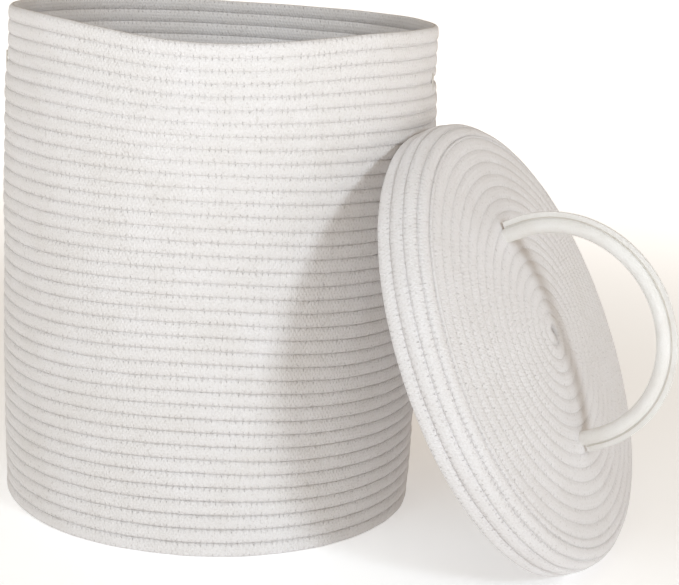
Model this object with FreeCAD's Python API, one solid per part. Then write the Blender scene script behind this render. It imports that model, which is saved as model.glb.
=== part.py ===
"""Laundry hamper of coiled cotton rope, with a loose domed rope lid leaning on its side.

Frame: millimetres, +Z up, origin on the floor at the hamper's axis.
The lid leans on the hamper on the +X side.  Each rope row is one turn of the coil, and rows
are grouped in bands at their sewn seams.
"""
import FreeCAD, Part

import math
import os

from FreeCAD import Placement, Rotation, Vector

# Rope
row_pitch = 12.0            # height of one sewn row
rope_depth = 8.0            # thickness of the wall
seam_notch = 1.2            # depth of the groove between two rows
thread_width = 0.8          # half width of the sewing thread in the groove

# Hamper
outer_radius = 200.0
foot_radius = 195.5
mouth_radius = 197.0        # the top rows are drawn in, so that the lid slips over them
wall_rows = 38
height = wall_rows * row_pitch
taper_height = 300.0        # the wall widens up to here
neck_start = 384.0
neck_end = 420.0
foot_rounding = 9.0
inner_rounding = 3.0        # where the base meets the wall inside
band_rows = [(1, 12), (12, 23), (23, 34)]   # first and last seam of each wall band
grip_seams = (34, 37)
rim_seams = (37, 38)

# Hand slots, where the seam above row 34 is left open
slot_azimuths = (25.0, 205.0)
slot_width = 92.0
slot_height = 8.0
slot_cut_start = 150.0      # the slots are cut from here outwards
slot_cut_length = 80.0
tack_width = 3.0
tack_height = 16.0
tack_proud = 0.9
tack_reach = 20.0           # how far each tack goes in before the wall is cut from it

# Lid
lid_radius = 205.0
lid_depth_of_rope = 7.0
skirt_height = 18.0         # straight part of the skirt
corner_radius = 22.0
dome_slope = 9.0            # slope of the dome where it meets the corner, in degrees
edge_chamfer = 3.0          # the rounded open edge of the skirt
lid_rows = 19
knot_radius = 4.0
clear_gap = 0.3
lean_angle = 26.4           # the lid's axis above the horizontal when it leans
wall_gap = 0.5              # between the leaning lid and the hamper's wall

# Handle
foot_offset = 94.0          # each foot from the lid's centre
handle_side_shift = -18.0   # the handle is sewn a little to one side
handle_tilt = 8.0           # and stands a little out of square
leg_height = 16.0
core_radius = 4.5
sleeve_radius = 6.25
flange_reach = 12.0         # from the rope's centre line to the sleeve's sewn edge
flange_thickness = 2.5
flange_foot = 1.5           # height of the sewn edge's ends above the foot
sleeve_fit = 0.8            # the sewn edge starts this far outside the inner rope
handle_stitch_width = 1.0
handle_stitch_proud = 0.5
handle_stitch_gap = 0.6     # between the sleeve's round part and its stitches
foot_hole_radius = 7.4
foot_hole_length = 60.0
end_pad = (28.0, 14.0, 4.0)     # length, width and thickness of each rope end under the lid
end_stitch_width = 1.2
end_stitch_thickness = 0.8
end_stitch_angles = (22.0, -22.0)
end_stitch_margin = 3.0     # from the stitches to the ends of the pad


def revolved(points):
    """Solid of revolution about Z from a closed outline of (radius, z) points."""
    corners = [Vector(r, 0, z) for r, z in points]
    outline = Part.makePolygon(corners + corners[:1])
    return Part.Face(outline).revolve(Vector(0, 0, 0), Vector(0, 0, 1), 360)


def wall_radius(z):
    """Outer radius of the hamper's wall at a height."""
    if z < taper_height:
        return outer_radius - (outer_radius - foot_radius) * (1 - z / taper_height) ** 2
    drawn_in = min(max((z - neck_start) / (neck_end - neck_start), 0.0), 1.0)
    smooth = drawn_in * drawn_in * (3 - 2 * drawn_in)
    return outer_radius - (outer_radius - mouth_radius) * smooth


def wall_point(z, depth):
    return wall_radius(z) - depth, z


dome_angle = math.radians(dome_slope)
dome_edge_radius = lid_radius - corner_radius + corner_radius * math.sin(dome_angle)
dome_edge_height = skirt_height + corner_radius * math.cos(dome_angle)
dome_radius = dome_edge_radius / math.sin(dome_angle)
corner_length = corner_radius * (math.pi / 2 - dome_angle)
dome_centre = dome_edge_height - dome_radius * math.cos(dome_angle)


def lid_point(along, depth):
    """Point a depth below the lid's outside, a distance along it from the open edge."""
    if along <= skirt_height:
        return lid_radius - depth, along
    on_corner = along - skirt_height
    if on_corner <= corner_length:
        angle = on_corner / corner_radius
        reach = corner_radius - depth
        return (lid_radius - corner_radius + reach * math.cos(angle),
                skirt_height + reach * math.sin(angle))
    angle = dome_angle - (on_corner - corner_length) / dome_radius
    reach = dome_radius - depth
    return reach * math.sin(angle), dome_centre + reach * math.cos(angle)


def row_outline(point, depth, first, last, start_notch=seam_notch):
    """Closed outline of the rows between two seams, with a groove at every seam."""
    outside, inside = [], []
    for row in range(first, last):
        near = row * row_pitch
        far = near + row_pitch
        notch = start_notch if row == first else seam_notch
        for along, cut in ((near, notch), (near + notch, 0), ((near + far) / 2, 0),
                           (far - seam_notch, 0)):
            outside.append(point(along, cut))
            inside.append(point(along, depth - cut))
    end = last * row_pitch
    outside.append(point(end, seam_notch))
    inside.append(point(end, depth - seam_notch))
    return outside + inside[::-1]


def seam_threads(point, seams):
    """The sewing thread that lies in the groove of each seam."""
    part = thread_width / seam_notch
    rings = []
    for seam in seams:
        along = seam * row_pitch
        root = point(along, seam_notch)
        section = [root]
        for shoulder in (point(along - seam_notch, 0), point(along + seam_notch, 0)):
            section.append(tuple(a + part * (b - a) for a, b in zip(root, shoulder)))
        rings.append(revolved(section))
    return Part.makeCompound(rings)


# Hamper
parts = {}

seam_height = grip_seams[0] * row_pitch
slots = []
for azimuth in slot_azimuths:
    half = slot_width / 2 - slot_height / 2
    opening = Part.makeBox(slot_cut_length, 2 * half, slot_height,
                           Vector(slot_cut_start, -half, seam_height - slot_height / 2))
    for side in (-half, half):
        end = Part.makeCylinder(slot_height / 2, slot_cut_length,
                                Vector(slot_cut_start, side, seam_height), Vector(1, 0, 0))
        opening = opening.fuse(end)
    slots.append(opening.rotate(Vector(0, 0, 0), Vector(0, 0, 1), azimuth))

base_radius = foot_radius - row_pitch
base_rows = int(base_radius // row_pitch)


def base_point(along, depth):
    """Point of the flat base, counted from its middle outwards and from its upper face down."""
    return base_radius - base_rows * row_pitch + along, rope_depth - depth


base_outline = row_outline(base_point, rope_depth, 0, base_rows)
base_top = base_outline[:len(base_outline) // 2]
parts["base_coil"] = revolved([(0, rope_depth - seam_notch)] + base_top + [(base_radius, 0), (0, 0)])
parts["base_thread"] = seam_threads(base_point, range(base_rows))

turn_up = [(base_radius, rope_depth - seam_notch), (base_radius, 0)]
for step in range(7):
    angle = math.radians(-90 + 15 * step)
    turn_up.append((foot_radius - foot_rounding + foot_rounding * math.cos(angle),
                    foot_rounding + foot_rounding * math.sin(angle)))
inner_foot = foot_radius - rope_depth
turn_up += [wall_point(row_pitch, seam_notch), wall_point(row_pitch, rope_depth - seam_notch),
            (inner_foot, row_pitch - seam_notch),
            (inner_foot - inner_rounding / 3, rope_depth + inner_rounding / 3),
            (inner_foot - inner_rounding, rope_depth), (base_radius + seam_notch, rope_depth)]
parts["turn_up_row"] = revolved(turn_up)

for number, (first, last) in enumerate(band_rows, 1):
    parts[f"wall_band_{number}"] = revolved(row_outline(wall_point, rope_depth, first, last))
    parts[f"wall_thread_{number}"] = seam_threads(wall_point, range(first, last))
parts["grip_band"] = revolved(row_outline(wall_point, rope_depth, *grip_seams))
parts["grip_thread"] = seam_threads(wall_point, range(*grip_seams))
parts["rim_row"] = revolved(row_outline(wall_point, rope_depth, *rim_seams))
parts["rim_thread"] = seam_threads(wall_point, rim_seams[:1])

for name in ("wall_band_3", "grip_band", "grip_thread"):
    for slot in slots:
        parts[name] = parts[name].cut(slot)

seam_radius = wall_radius(seam_height)
around_slot = parts["wall_band_3"].fuse([parts["grip_band"], parts["grip_thread"]])
tack_turn = math.degrees(math.asin((slot_width / 2 + tack_width) / seam_radius))
for azimuth, side in zip(slot_azimuths, ("front", "back")):
    for turn, end in ((-1, "left"), (1, "right")):
        tack = Part.makeBox(tack_reach, tack_width, tack_height,
                            Vector(seam_radius + tack_proud - tack_reach, -tack_width / 2,
                                   seam_height - tack_height / 2))
        tack.rotate(Vector(0, 0, 0), Vector(0, 0, 1), azimuth + turn * tack_turn)
        outside = [piece for piece in tack.cut(around_slot).Solids
                   if math.hypot(piece.CenterOfMass.x, piece.CenterOfMass.y) > mouth_radius]
        parts[f"slot_tack_{side}_{end}"] = Part.makeCompound(outside)

# Lid, in its own frame: axis on Z, open edge at z = 0
lid_parts = {}
lid_parts["lid_edge_row"] = revolved(
    row_outline(lid_point, lid_depth_of_rope, 0, 1, start_notch=edge_chamfer))
lid_parts["lid_skirt_row"] = revolved(row_outline(lid_point, lid_depth_of_rope, 1, 2))
lid_parts["lid_upper_row"] = revolved(row_outline(lid_point, lid_depth_of_rope, 2, 3))
lid_parts["lid_corner_row"] = revolved(row_outline(lid_point, lid_depth_of_rope, 3, 4))
lid_top = dome_centre + dome_radius
coil_outline = row_outline(lid_point, lid_depth_of_rope, 4, lid_rows)
coil_rows = len(coil_outline) // 2
lid_coil = revolved(coil_outline[:coil_rows]
                    + [(0, lid_top - seam_notch), (0, lid_top - lid_depth_of_rope + seam_notch)]
                    + coil_outline[coil_rows:])
for seam in (1, 2, 3):
    lid_parts[f"lid_seam_{seam}"] = seam_threads(lid_point, [seam])
coil_thread = seam_threads(lid_point, range(4, lid_rows))

# Handle, in the lid's frame: a rope in a sewn sleeve, through the lid at both feet
foot_height = dome_centre + math.sqrt(dome_radius ** 2 - foot_offset ** 2)


def stand_up(shape):
    """Turn a handle shape made in the XZ plane to its place on the lid."""
    shape.rotate(Vector(0, 0, 0), Vector(1, 0, 0), handle_tilt)
    shape.translate(Vector(0, handle_side_shift, foot_height))
    return shape


def arch_strip(inner, outer, low, high, bottom):
    """Flat strip along the arch, between two distances from its inside and two depths in Y."""
    arcs = []
    for reach in (inner, outer):
        left, right = Vector(-reach, low, bottom), Vector(reach, low, bottom)
        spring_left, spring_right = Vector(-reach, low, leg_height), Vector(reach, low, leg_height)
        crown = Vector(0, low, leg_height + reach)
        arcs.append((left, spring_left, crown, spring_right, right))
    (a, b, c, d, e), (f, g, h, i, j) = arcs
    edges = [Part.makeLine(a, b), Part.Arc(b, c, d).toShape(), Part.makeLine(d, e),
             Part.makeLine(e, j), Part.makeLine(j, i), Part.Arc(i, h, g).toShape(),
             Part.makeLine(g, f), Part.makeLine(f, a)]
    return Part.Face(Part.Wire(edges)).extrude(Vector(0, high - low, 0))


def arch_tube(radius, bottom):
    """Round bar along the arch's centre line."""
    left, right = Vector(-foot_offset, 0, bottom), Vector(foot_offset, 0, bottom)
    spring_left = Vector(-foot_offset, 0, leg_height)
    spring_right = Vector(foot_offset, 0, leg_height)
    crown = Vector(0, 0, leg_height + foot_offset)
    path = Part.Wire([Part.makeLine(left, spring_left),
                      Part.Arc(spring_left, crown, spring_right).toShape(),
                      Part.makeLine(spring_right, right)])
    section = Part.Wire([Part.makeCircle(radius, left, Vector(0, 0, 1))])
    return path.makePipeShell([section], True, False)


core = arch_tube(core_radius, -lid_depth_of_rope)
sleeve = arch_tube(sleeve_radius, -lid_depth_of_rope / 2)
flange = arch_strip(foot_offset + core_radius + sleeve_fit, foot_offset + flange_reach,
                    -flange_thickness / 2, flange_thickness / 2, flange_foot)
sleeve = sleeve.fuse(flange).cut(core).removeSplitter()
stitch_reach = foot_offset + sleeve_radius + handle_stitch_gap
stitches = []
for side in (-1, 1):
    face = side * flange_thickness / 2
    stitches.append(arch_strip(stitch_reach, stitch_reach + handle_stitch_width, face,
                               face + side * handle_stitch_proud,
                               flange_foot + handle_stitch_width))

lid_parts["handle_rope"] = stand_up(core)
lid_parts["handle_sleeve"] = stand_up(sleeve)
lid_parts["handle_seam"] = stand_up(Part.makeCompound(stitches))
for x in (-foot_offset, foot_offset):
    hole = stand_up(Part.makeCylinder(foot_hole_radius, foot_hole_length,
                                      Vector(x, 0, -foot_hole_length / 2)))
    lid_coil = lid_coil.cut(hole)
    coil_thread = coil_thread.cut(hole)
lid_parts["lid_coil"] = lid_coil
lid_parts["lid_coil_thread"] = coil_thread


def under_lid(thin, thick):
    """Layer that follows the underside of the dome, between two depths below it."""
    steps = [row_pitch * 4 + row_pitch / 2 * half_row for half_row in range(30)]
    upper = [lid_point(along, lid_depth_of_rope + thin) for along in steps]
    lower = [lid_point(along, lid_depth_of_rope + thick) for along in steps]
    return revolved(upper + lower[::-1])


pad_length, pad_width, pad_thickness = end_pad
pad_layer = under_lid(0, pad_thickness)
stitch_layer = under_lid(pad_thickness, pad_thickness + end_stitch_thickness)
stitch_length = pad_length - 2 * end_stitch_margin
tall = 80.0
for side, end in ((-1, "upper"), (1, "lower")):
    middle = Vector(side * (foot_offset - pad_length / 4), handle_side_shift, 0)
    column = Part.makeBox(pad_length, pad_width, tall, middle - Vector(pad_length / 2, pad_width / 2, 0))
    pad = pad_layer.common(column)
    bars = []
    for angle in end_stitch_angles:
        bar = Part.makeBox(stitch_length, end_stitch_width, tall,
                           Vector(-stitch_length / 2, -end_stitch_width / 2, 0))
        bar.rotate(Vector(0, 0, 0), Vector(0, 0, 1), angle)
        bar.translate(middle)
        bars.append(bar)
    lid_parts[f"handle_end_{end}"] = pad
    lid_parts[f"handle_end_stitch_{end}"] = stitch_layer.common(bars[0].fuse(bars[1]))
    lid_parts["handle_rope"] = lid_parts["handle_rope"].cut(pad)

knot_height = lid_top - lid_depth_of_rope - knot_radius - clear_gap
lid_parts["lid_start_knot"] = Part.makeSphere(knot_radius, Vector(0, 0, knot_height))

# The lid leans with the top of its open edge against the wall and its lowest point on the floor
lean = math.radians(lean_angle)
lid_origin = Vector(outer_radius + wall_gap + (lid_radius - edge_chamfer) * math.sin(lean), 0,
                    lid_radius * math.cos(lean) - edge_chamfer * math.sin(lean))
leaning = Placement(lid_origin, Rotation(Vector(0, 1, 0), 90 - lean_angle))
for name, shape in lid_parts.items():
    shape.Placement = leaning.multiply(shape.Placement)
    parts[name] = shape

os.makedirs("parts", exist_ok=True)
for name, shape in parts.items():
    shape.exportStep(f"parts/{name}.step")
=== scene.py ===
import bisect
import math

import bmesh
import bpy
from mathutils import Matrix, Vector, noise


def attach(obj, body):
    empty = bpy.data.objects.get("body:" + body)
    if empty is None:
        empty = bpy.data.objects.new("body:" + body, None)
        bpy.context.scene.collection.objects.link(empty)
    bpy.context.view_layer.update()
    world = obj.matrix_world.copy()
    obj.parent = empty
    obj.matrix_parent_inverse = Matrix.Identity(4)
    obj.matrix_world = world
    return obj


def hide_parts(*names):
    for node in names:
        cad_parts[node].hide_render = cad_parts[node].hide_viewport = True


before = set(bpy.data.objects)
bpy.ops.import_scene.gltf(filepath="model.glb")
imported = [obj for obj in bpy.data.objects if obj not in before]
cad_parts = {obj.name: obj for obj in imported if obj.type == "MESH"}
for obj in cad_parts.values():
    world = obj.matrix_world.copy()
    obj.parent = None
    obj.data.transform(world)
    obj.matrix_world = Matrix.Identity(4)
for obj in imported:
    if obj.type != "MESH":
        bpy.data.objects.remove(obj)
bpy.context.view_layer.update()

MM = 0.001

# Rope and hamper
PITCH = 12.0 * MM               # one sewn row
WALL_DEPTH = 8.0 * MM
LID_DEPTH = 7.0 * MM
WALL_ROWS = 38
FOOT_RADIUS = 195.5 * MM
SLOT_ROW = 34                   # the seam above this many rows is open at the hand slots
SLOT_TURNS = (25.0, 205.0)
SLOT_WIDTH = 92.0 * MM
SLOT_GAP = 7.0 * MM
FRONT_TURN = -65.7              # side of the mouth that sags most, in degrees from +X
NECK = 3.0 * MM                 # how far the top rows are drawn in
LIP = 0.06                      # each row leans out this much towards its lower edge
SECTION_POINTS = 14
SQUARENESS = 3.0                # 2 would make the rope's section an ellipse
ROW_STEPS = 240
OVERLAP = 1.1                   # rows press into each other by this much
COIL_OVERLAP = 1.28
LUMP = 0.55 * MM                # short bulges along a row
DRIFT = 0.9 * MM                # slow wandering of a row, in and out and up and down
WALL_RADIUS = 200.0 * MM
ROPE_RADIUS = 196.0 * MM        # middle of the wall's rope
TAPER_HEIGHT = 300.0 * MM
NECK_START = 384.0 * MM
NECK_HEIGHT = 36.0 * MM

# Lid
LID_RADIUS = 205.0 * MM
SKIRT = 18.0 * MM
CORNER = 22.0 * MM
DOME_TILT = math.radians(9.0)
LEAN = math.radians(26.4)
WALL_GAP = 0.5 * MM             # between the leaning lid and the wall
EDGE_CHAMFER = 3.0 * MM         # of the open edge that touches the wall and the floor


def smooth(value):
    value = min(max(value, 0.0), 1.0)
    return value * value * (3 - 2 * value)


def turn_between(angle, other):
    """Signed angle from one direction to another, in radians."""
    return (angle - other + math.pi) % (2 * math.pi) - math.pi


def wall_radius(z):
    """Outside of the wall at a height: a little narrower at the foot and drawn in at the mouth."""
    if z < TAPER_HEIGHT:
        return WALL_RADIUS - (WALL_RADIUS - FOOT_RADIUS) * (1 - max(z, 0) / TAPER_HEIGHT) ** 2
    return WALL_RADIUS - NECK * smooth((z - NECK_START) / NECK_HEIGHT)


def sag(angle, z):
    """How far the soft front of the wall has dropped at a height."""
    front = max(0.0, math.cos(turn_between(angle, math.radians(FRONT_TURN)))) ** 6
    share = z / (WALL_ROWS * PITCH)
    return front * (53.9 * share * share - 40.6 * share) * MM


def soft_noise(angle, detail, layer):
    """Smooth random value that closes up after a full turn."""
    return noise.noise(Vector((math.cos(angle) * detail, math.sin(angle) * detail, layer)))


def rope_section(bm, wide, deep):
    """Cross-section of the sewn rope: wide along Z, deep along Y, flattened by its stitches."""
    made = bmesh.ops.create_circle(bm, segments=SECTION_POINTS, radius=1.0)
    for vert in made["verts"]:
        angle = math.atan2(vert.co.y, vert.co.x)
        spread = abs(math.cos(angle)) ** SQUARENESS + abs(math.sin(angle)) ** SQUARENESS
        bulge = spread ** (-1 / SQUARENESS)
        across, along = math.sin(angle) * bulge, math.cos(angle) * bulge
        vert.co = (0, along * deep / 2, across * wide / 2)
    return made["verts"]


def rope_length(length, steps, wide, deep, place, closed):
    """A length of rope, straight at first, with every point of it then laid by place(x, y, z).

    The UV map keeps the metres along the rope and the turns around it, 0 on the outside.
    """
    bm = bmesh.new()
    ring = rope_section(bm, wide, deep)
    edges = list({edge for vert in ring for edge in vert.link_edges})
    bmesh.ops.spin(bm, geom=ring + edges, cent=(0, 0, 0), axis=(1, 0, 0), angle=0.0,
                   dvec=(length / steps, 0, 0), steps=steps, use_merge=False)
    uv = bm.loops.layers.uv.new("Rope")
    for face in bm.faces:
        middle = face.calc_center_median()
        face_turn = math.atan2(middle.z / wide, middle.y / deep)
        for loop in face.loops:
            co = loop.vert.co
            turn = face_turn + turn_between(math.atan2(co.z / wide, co.y / deep), face_turn)
            loop[uv].uv = (co.x, turn / (2 * math.pi))
        face.smooth = True
    for vert in bm.verts:
        vert.co = place(*vert.co)
    if closed:
        bmesh.ops.remove_doubles(bm, verts=bm.verts, dist=0.05 * MM)
    else:
        ends = [edge for edge in bm.edges if edge.is_boundary]
        bmesh.ops.edgeloop_fill(bm, edges=ends)
    bmesh.ops.recalc_face_normals(bm, faces=bm.faces)
    mesh = bpy.data.meshes.new("rope")
    bm.to_mesh(mesh)
    bm.free()
    return mesh


def make_piece(name, meshes, body, material, nodes):
    """One object out of several lengths of rope, riding on a body in place of CAD nodes."""
    bm = bmesh.new()
    for mesh in meshes:
        bm.from_mesh(mesh)
        bpy.data.meshes.remove(mesh)
    mesh = bpy.data.meshes.new(name)
    bm.to_mesh(mesh)
    bm.free()
    piece = bpy.data.objects.new(name, mesh)
    bpy.context.scene.collection.objects.link(piece)
    mesh.materials.append(material)
    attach(piece, body)
    if nodes:
        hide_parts(*nodes)
    return piece


# Materials

class Recipe:
    """Short way to wire shader nodes for one material."""

    def __init__(self, name):
        self.material = bpy.data.materials.new(name)
        self.material.use_nodes = True
        self.tree = self.material.node_tree
        self.shader = self.tree.nodes["Principled BSDF"]

    def add(self, kind, **settings):
        node = self.tree.nodes.new(kind)
        for key, value in settings.items():
            setattr(node, key, value)
        return node

    def link(self, source, target):
        if isinstance(source, (int, float, tuple)):
            target.default_value = source
        else:
            self.tree.links.new(source, target)

    def math(self, operation, *values, clamp=False):
        node = self.add("ShaderNodeMath", operation=operation, use_clamp=clamp)
        for value, socket in zip(values, node.inputs):
            self.link(value, socket)
        return node.outputs[0]

    def band(self, value, low, high, start=0.0, end=1.0):
        node = self.add("ShaderNodeMapRange", interpolation_type="SMOOTHSTEP")
        for given, socket in zip((value, low, high, start, end), node.inputs):
            self.link(given, socket)
        return node.outputs[0]

    def noise(self, vector, scale, detail=2.0, rough=0.5):
        node = self.add("ShaderNodeTexNoise")
        self.link(vector, node.inputs["Vector"])
        node.inputs["Scale"].default_value = scale
        node.inputs["Detail"].default_value = detail
        node.inputs["Roughness"].default_value = rough
        return node.outputs["Fac"]

    def ramp(self, value, *stops):
        node = self.add("ShaderNodeValToRGB")
        elements = node.color_ramp.elements
        while len(elements) < len(stops):
            elements.new(0.5)
        for element, (place, colour) in zip(elements, stops):
            element.position = place
            element.color = (*colour, 1)
        self.link(value, node.inputs[0])
        return node.outputs[0]

    def tint(self, colour, amount, shade):
        """Colour multiplied by a shade, as far as the amount says."""
        node = self.add("ShaderNodeMix", data_type="RGBA", blend_type="MULTIPLY")
        self.link(amount, node.inputs[0])
        self.link(colour, node.inputs[6])
        node.inputs[7].default_value = (*shade, 1)
        return node.outputs[2]

    def bump(self, height, distance, strength=1.0, normal=None):
        node = self.add("ShaderNodeBump")
        node.inputs["Strength"].default_value = strength
        node.inputs["Distance"].default_value = distance
        self.link(height, node.inputs["Height"])
        if normal:
            self.link(normal, node.inputs["Normal"])
        return node.outputs[0]

    def finish(self, colour, roughness, normal, sheen=0.15):
        self.link(colour, self.shader.inputs["Base Color"])
        self.link(roughness, self.shader.inputs["Roughness"])
        self.link(normal, self.shader.inputs["Normal"])
        self.shader.inputs["Sheen Weight"].default_value = sheen
        self.shader.inputs["Sheen Roughness"].default_value = 0.5
        self.shader.inputs["Specular IOR Level"].default_value = 0.25
        return self.material


def sewn_rope(name, light, warm, painted_seam_shade, depth):
    """Cotton rope with its braid, the zigzag stitches over each seam and their needle holes."""
    cloth = Recipe(name)
    coords = cloth.add("ShaderNodeTexCoord")
    place = coords.outputs["Object"]
    split = cloth.add("ShaderNodeSeparateXYZ")
    cloth.link(coords.outputs["UV"], split.inputs[0])
    along, around = split.outputs[0], split.outputs[1]
    across = cloth.math("PINGPONG", around, 0.5)
    from_seam = cloth.math("ABSOLUTE", cloth.math("SUBTRACT", across, 0.25))

    # Zigzag thread over each seam
    jitter = cloth.math("MULTIPLY", cloth.noise(place, 60.0), 0.006)
    step = cloth.math("ADD", along, jitter)
    zigzag = cloth.math("MULTIPLY", cloth.math("PINGPONG", step, 0.0026), 0.15 / 0.0026)
    off_thread = cloth.math("ABSOLUTE", cloth.math("SUBTRACT", from_seam, zigzag))
    thread = cloth.band(off_thread, 0.012, 0.04, 1.0, 0.0)
    tip = cloth.band(cloth.math("ABSOLUTE", cloth.math("SUBTRACT", from_seam, 0.155)), 0.005, 0.03,
                     1.0, 0.0)
    peak = cloth.band(zigzag, 0.125, 0.148)
    some = cloth.band(cloth.noise(place, 260.0, 0.0), 0.46, 0.60)
    holes = cloth.math("MULTIPLY", cloth.math("MULTIPLY", tip, peak), some)

    # Braid of the rope's own jacket
    ribs = []
    for way in (1, -1):
        slant = cloth.math("ADD", cloth.math("MULTIPLY", along, 2 * math.pi / 0.0034),
                           cloth.math("MULTIPLY", around, way * 2 * math.pi * 7))
        ribs.append(cloth.math("SINE", slant))
    braid = cloth.math("MAXIMUM", *ribs)
    fuzz = cloth.noise(place, 900.0, 3.0, 0.7)
    lumps = cloth.noise(place, 130.0, 2.0)

    height = cloth.math("ADD", cloth.math("MULTIPLY", braid, 0.30), cloth.math("MULTIPLY", thread, 0.55))
    height = cloth.math("ADD", height, cloth.math("MULTIPLY", fuzz, 0.7))
    height = cloth.math("ADD", height, cloth.math("MULTIPLY", lumps, 0.9))
    height = cloth.math("SUBTRACT", height, cloth.math("MULTIPLY", holes, 1.2))

    colour = cloth.ramp(cloth.noise(place, 22.0, 3.0), (0.3, warm), (0.7, light))
    # Painted shade in the grooves between rows, darkest right at each seam
    colour = cloth.tint(colour, cloth.band(from_seam, 0.0, 0.05, 0.75, 0.0), painted_seam_shade)
    # Painted shade inside the needle holes, which the bump also sinks
    colour = cloth.tint(colour, cloth.math("MULTIPLY", holes, 0.6), (0.50, 0.48, 0.46))
    pin = cloth.band(cloth.noise(place, 420.0, 0.0), 0.70, 0.78)
    colour = cloth.tint(colour, cloth.math("MULTIPLY", pin, 0.3), (0.60, 0.57, 0.54))
    # Painted shade in the hollows of the fibre fuzz: darker where the fuzz bump is lowest
    colour = cloth.tint(colour, cloth.band(fuzz, 0.30, 0.55, 0.35, 0.0), (0.80, 0.77, 0.73))
    roughness = cloth.band(fuzz, 0.3, 0.7, 0.85, 0.97)
    return cloth.finish(colour, roughness, cloth.bump(height, depth))


def plain_weave(name, light, warm, scale, wrinkle):
    """Close cotton cloth, on object coordinates, with soft wrinkles."""
    cloth = Recipe(name)
    place = cloth.add("ShaderNodeTexCoord").outputs["Object"]
    split = cloth.add("ShaderNodeSeparateXYZ")
    cloth.link(place, split.inputs[0])
    threads = [cloth.math("SINE", cloth.math("MULTIPLY", axis, 2 * math.pi / scale))
               for axis in split.outputs]
    weave = cloth.math("MULTIPLY", cloth.math("MULTIPLY", threads[0], threads[1]), threads[2])
    fuzz = cloth.noise(place, 1100.0, 3.0, 0.7)
    folds = cloth.noise(place, 160.0, 2.0)
    height = cloth.math("ADD", cloth.math("MULTIPLY", weave, 0.35), cloth.math("MULTIPLY", fuzz, 0.6))
    height = cloth.math("ADD", height, cloth.math("MULTIPLY", folds, wrinkle))
    colour = cloth.ramp(cloth.noise(place, 40.0, 3.0), (0.3, warm), (0.7, light))
    # Painted shade in the hollows of the fibre fuzz: darker where the fuzz bump is lowest
    colour = cloth.tint(colour, cloth.band(fuzz, 0.30, 0.55, 0.3, 0.0), (0.82, 0.79, 0.75))
    roughness = cloth.band(fuzz, 0.3, 0.7, 0.8, 0.95)
    return cloth.finish(colour, roughness, cloth.bump(height, 0.4 * MM))


# The third colour of each rope is the painted shade in its seam grooves
ROPE = sewn_rope("Cotton_rope", (0.835, 0.813, 0.812), (0.795, 0.768, 0.754), (0.62, 0.57, 0.50),
                 0.7 * MM)
# A little darker, greyer copy of the rope for the lid: its darkening is painted shade on the lid's face,
# and its seams get lighter painted seam shade
PAINTED_SHADE_LID_ROPE = sewn_rope("Lid_rope_painted_shade", (0.82, 0.804, 0.812), (0.795, 0.775, 0.776), (0.84, 0.81, 0.78),
                     0.6 * MM)
SLEEVE = plain_weave("Cotton_sleeve", (0.87, 0.86, 0.84), (0.82, 0.80, 0.77), 1.4 * MM, 1.2)
CORE = plain_weave("Handle_core", (0.80, 0.77, 0.72), (0.74, 0.71, 0.66), 1.8 * MM, 0.8)
THREAD = plain_weave("Sewing_thread", (0.72, 0.69, 0.64), (0.66, 0.62, 0.56), 0.8 * MM, 0.5)


# Hamper wall: one closed ring of rope to a row

def wall_row(row):
    """One row of the wall; next to a hand slot it is pressed away from the open seam."""
    middle = (row + 0.5) * PITCH
    length = 2 * math.pi * ROPE_RADIUS
    away = {SLOT_ROW - 1: -1, SLOT_ROW: 1}.get(row, 0)

    def place(x, y, z):
        angle = 2 * math.pi * x / length
        squeeze = 0.0
        for slot in SLOT_TURNS:
            off = abs(turn_between(angle, math.radians(slot))) * ROPE_RADIUS / (SLOT_WIDTH / 2)
            squeeze = max(squeeze, 1 - smooth((off - 0.86) / 0.2))
        if away:
            share = squeeze * SLOT_GAP / 2 / PITCH
            z = z * (1 - share) + away * share * PITCH / 2
        height = middle + z
        radius = wall_radius(middle) - WALL_DEPTH / 2
        calm = 1 - smooth((middle - 0.38) / 0.03) * 0.5
        radius += LUMP * calm * soft_noise(angle, 9.0, row * 3.7)
        radius += DRIFT * calm * soft_noise(angle, 2.2, row * 0.21)
        lift = DRIFT * soft_noise(angle, 2.6, 40 + row * 0.13) * smooth(middle / 0.08)
        radius += y - z * LIP
        height = max(height + lift - sag(angle, middle), 0.1 * MM)
        return Vector((radius * math.cos(angle), radius * math.sin(angle), height))

    return rope_length(length, ROW_STEPS, PITCH * OVERLAP, WALL_DEPTH, place, closed=True)


def spiral(outer_edge, radius_at, surface, depth, body_step=9 * MM, start=math.radians(115)):
    """Rope coiled inwards from a row's inner edge to the middle, widening over its first turn.

    radius_at(along) is the coil's radius there, and surface(along, y, angle) lays a point.
    """
    marks = [(0.0, 0.0)]
    while radius_at(outer_edge + max(marks[-1][0] - 0.5, 0) * PITCH) > 0.52 * PITCH:
        turn, travelled = marks[-1]
        radius = radius_at(outer_edge + max(turn - 0.5, 0) * PITCH)
        marks.append((turn + 1 / 16, travelled + 2 * math.pi * radius / 16))
    length = marks[-1][1]

    def place(x, y, z):
        near = bisect.bisect_left(marks, x, 1, len(marks) - 1, key=lambda mark: mark[1])
        (turn, travelled), (next_turn, next_travelled) = marks[near - 1], marks[near]
        turn += (next_turn - turn) * (x - travelled) / (next_travelled - travelled)
        width = max(min(turn, 1.0), 0.05)
        middle = outer_edge + max(turn - 1, 0.0) * PITCH + width * PITCH / 2
        return surface(middle + z * width, y, start + 2 * math.pi * turn)

    return rope_length(length, int(length / body_step), PITCH * COIL_OVERLAP, depth, place,
                       closed=False)


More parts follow.
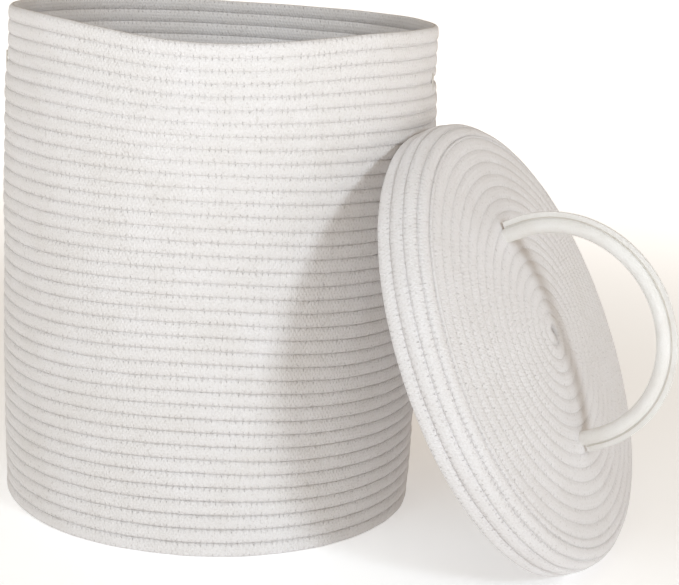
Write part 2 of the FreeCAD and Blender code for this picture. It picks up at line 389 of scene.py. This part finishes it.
wall_groups = (("Wall_lower", 1, 12, ("wall_band_1", "wall_thread_1")),
               ("Wall_middle", 12, 23, ("wall_band_2", "wall_thread_2")),
               ("Wall_upper", 23, 34, ("wall_band_3", "wall_thread_3")),
               ("Grip_rows", 34, 37, ("grip_band", "grip_thread")),
               ("Rim_row", 37, 38, ("rim_row", "rim_thread")),
               ("Turn_up_row", 0, 1, ("turn_up_row",)))
for name, first, last, nodes in wall_groups:
    make_piece(name, [wall_row(row) for row in range(first, last)], "hamper", ROPE, nodes)


def base_radius(along):
    return max(FOOT_RADIUS - PITCH * 0.7 - along, 0.0)


def base_surface(along, y, angle):
    radius = base_radius(along)
    return Vector((radius * math.cos(angle), radius * math.sin(angle), WALL_DEPTH / 2 - y * 0.97))


make_piece("Base_coil", [spiral(0.0, base_radius, base_surface, WALL_DEPTH)], "hamper", ROPE,
           ("base_coil", "base_thread"))

# Lid, made upright about Z and then leant on the hamper
lid_foot = Vector((WALL_RADIUS + WALL_GAP + (LID_RADIUS - EDGE_CHAMFER) * math.sin(LEAN), 0,
                   LID_RADIUS * math.cos(LEAN) - EDGE_CHAMFER * math.sin(LEAN)))
LEANING = Matrix.Translation(lid_foot) @ Matrix.Rotation(math.pi / 2 - LEAN, 4, "Y")
dome_edge = LID_RADIUS - CORNER + CORNER * math.sin(DOME_TILT)
DOME = dome_edge / math.sin(DOME_TILT)
DOME_CENTRE = SKIRT + CORNER * math.cos(DOME_TILT) - DOME * math.cos(DOME_TILT)
CORNER_LENGTH = CORNER * (math.pi / 2 - DOME_TILT)


def lid_profile(along, depth):
    """Radius and height of a point of the lid, along it from the open edge and below its outside."""
    if along <= SKIRT:
        return LID_RADIUS - depth, along
    on_corner = along - SKIRT
    if on_corner <= CORNER_LENGTH:
        angle = on_corner / CORNER
        reach = CORNER - depth
        return LID_RADIUS - CORNER + reach * math.cos(angle), SKIRT + reach * math.sin(angle)
    angle = max(DOME_TILT - (on_corner - CORNER_LENGTH) / DOME, 0.0)
    reach = DOME - depth
    return reach * math.sin(angle), DOME_CENTRE + reach * math.cos(angle)


def lid_surface(along, y, angle):
    radius, height = lid_profile(along, LID_DEPTH / 2 - y)
    height += 0.5 * MM * soft_noise(angle, 1.5, along * 12) * smooth((along - 0.03) / 0.03)
    return LEANING @ Vector((radius * math.cos(angle), radius * math.sin(angle), height))


def lid_row(row):
    """One closed row of the lid's skirt or corner."""
    length = 2 * math.pi * LID_RADIUS

    def place(x, y, z):
        angle = 2 * math.pi * x / length
        ease = 0.35 * MM * soft_noise(angle, 9.0, 60 + row * 3.1)
        along = max((row + 0.5) * PITCH + z, 0.05 * MM)
        return lid_surface(along, y + ease - z * LIP * 0.5, angle)

    return rope_length(length, ROW_STEPS, PITCH * OVERLAP, LID_DEPTH, place, closed=True)


lid_groups = (("Lid_edge_row", 0, ("lid_edge_row", "lid_seam_1")),
              ("Lid_skirt_row", 1, ("lid_skirt_row", "lid_seam_2")),
              ("Lid_upper_row", 2, ("lid_upper_row", "lid_seam_3")),
              ("Lid_corner_row", 3, ("lid_corner_row",)))
for name, row, nodes in lid_groups:
    make_piece(name, [lid_row(row)], "lid", PAINTED_SHADE_LID_ROPE, nodes)


def lid_coil_radius(along):
    return lid_profile(along, 0)[0]


make_piece("Lid_coil", [spiral(4 * PITCH, lid_coil_radius, lid_surface, LID_DEPTH)], "lid", PAINTED_SHADE_LID_ROPE,
           ("lid_coil", "lid_coil_thread"))

# CAD pieces that keep their shape
for name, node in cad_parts.items():
    if name in ("handle_sleeve", "handle_end_upper", "handle_end_lower"):
        finish = SLEEVE
    elif name == "handle_rope":
        finish = CORE
    else:
        finish = THREAD
    node.data.materials.clear()
    node.data.materials.append(finish)


# Floor, light and camera

def pale_floor():
    bm = bmesh.new()
    bmesh.ops.create_circle(bm, cap_ends=True, segments=64, radius=30.0)
    mesh = bpy.data.meshes.new("Floor")
    bm.to_mesh(mesh)
    bm.free()
    floor = bpy.data.objects.new("Floor", mesh)
    bpy.context.scene.collection.objects.link(floor)
    paper = Recipe("Pale_floor")
    paper.shader.inputs["Base Color"].default_value = (0.9, 0.9, 0.9, 1)
    paper.shader.inputs["Roughness"].default_value = 0.9
    paper.shader.inputs["Specular IOR Level"].default_value = 0.0
    paper.shader.inputs["Emission Color"].default_value = (1, 1, 1, 1)
    place = paper.add("ShaderNodeTexCoord").outputs["Object"]
    away = paper.add("ShaderNodeVectorMath", operation="LENGTH")
    paper.link(place, away.inputs[0])
    paper.link(paper.band(away.outputs["Value"], 0.5, 2.5, 0.33, 0.95),
               paper.shader.inputs["Emission Strength"])
    mesh.materials.append(paper.material)


def soft_light(name, azimuth, elevation, distance, size, power, colour):
    """Square area light, its direction given as seen from the object."""
    lamp = bpy.data.lights.new(name, "AREA")
    lamp.size = size
    lamp.energy = power
    lamp.color = colour
    light = bpy.data.objects.new(name, lamp)
    around, up = math.radians(azimuth), math.radians(elevation)
    way = Vector((math.cos(around) * math.cos(up), math.sin(around) * math.cos(up), math.sin(up)))
    light.location = Vector((0.1, 0, 0.2)) + way * distance
    light.rotation_euler = way.to_track_quat("Z", "Y").to_euler()
    bpy.context.scene.collection.objects.link(light)


def place_camera(position, heading, pitch, roll, lens):
    forward = Vector((math.cos(heading) * math.cos(pitch), math.sin(heading) * math.cos(pitch),
                      -math.sin(pitch)))
    level = forward.cross(Vector((0, 0, 1))).normalized()
    upright = level.cross(forward)
    right = level * math.cos(roll) + upright * math.sin(roll)
    up = right.cross(forward)
    data = bpy.data.cameras.new("Camera")
    data.lens = lens
    data.sensor_width = 36.0
    camera = bpy.data.objects.new("Camera", data)
    turn = Matrix((right, up, -forward)).transposed()
    camera.matrix_world = Matrix.Translation(position) @ turn.to_4x4()
    bpy.context.scene.collection.objects.link(camera)
    bpy.context.scene.camera = camera


pale_floor()
soft_light("Key", FRONT_TURN + 40, 21, 3.2, 0.5, 37, (0.83, 0.92, 1.0))
soft_light("Fill_left", FRONT_TURN - 48, 28, 3.0, 2.2, 26, (0.74, 0.88, 1.0))
soft_light("Top", FRONT_TURN - 10, 54, 3.0, 1.6, 15, (0.88, 0.95, 1.0))
world = bpy.data.worlds.new("Studio")
world.use_nodes = True
world.node_tree.nodes["Background"].inputs[0].default_value = (1.0, 0.77, 0.52, 1)
world.node_tree.nodes["Background"].inputs[1].default_value = 0.34
bpy.context.scene.world = world
bpy.context.scene.view_settings.view_transform = "Standard"
place_camera(Vector((0.7175, -1.2963, 0.5532)), math.radians(114.35), 0.2366, 0.0568, 83.7)
